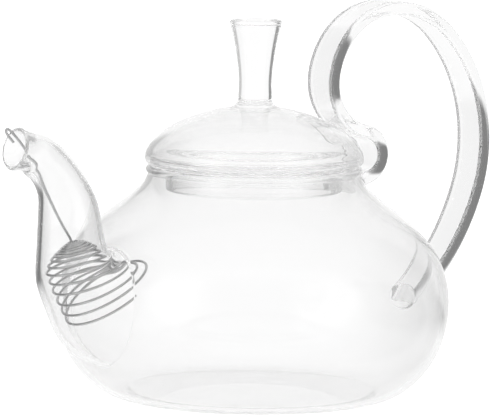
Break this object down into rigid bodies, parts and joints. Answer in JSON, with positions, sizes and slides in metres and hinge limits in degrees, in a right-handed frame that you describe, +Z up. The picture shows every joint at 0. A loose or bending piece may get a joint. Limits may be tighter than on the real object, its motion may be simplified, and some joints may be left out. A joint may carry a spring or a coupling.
{
  "type": "glass teapot",
  "caption": "Blown glass teapot with a swan-neck spout, looping flat handle, domed lid with a trumpet knob, and a pull-out coiled wire strainer in the spout.",
  "frame": {"origin": "centre of the flat base that the pot stands on", "axes": "+Z up out of the base, -X towards the spout, +X towards the handle; XZ is the plane of symmetry of the glass"},
  "size_m": [0.1958, 0.1322, 0.1318],
  "materials": {
    "clear_glass": "fire-polished, clear",
    "strainer_wire": "drawn stainless wire"
  },
  "bodies": {
    "pot": {"pot_body": "clear_glass", "spout": "clear_glass", "handle": "clear_glass", "handle_root_bead": "clear_glass", "handle_foot_bead": "clear_glass"},
    "lid": {"lid_dome": "clear_glass", "lid_collar": "clear_glass", "lid_knob": "clear_glass"},
    "strainer": {"strainer_coil": "strainer_wire", "strainer_stem": "strainer_wire"}
  },
  "joints": [
    {"name": "lid_tilt", "type": "hinge", "parent": "pot", "child": "lid", "pos_m": [0.036, 0, 0.092], "axis": [0, 1, 0], "range_deg": [0, 24]},
    {"name": "strainer_slide", "type": "slide", "parent": "pot", "child": "strainer", "axis": [0.5708, 0, -0.8211], "range_m": [0, 0.008]}
  ]
}
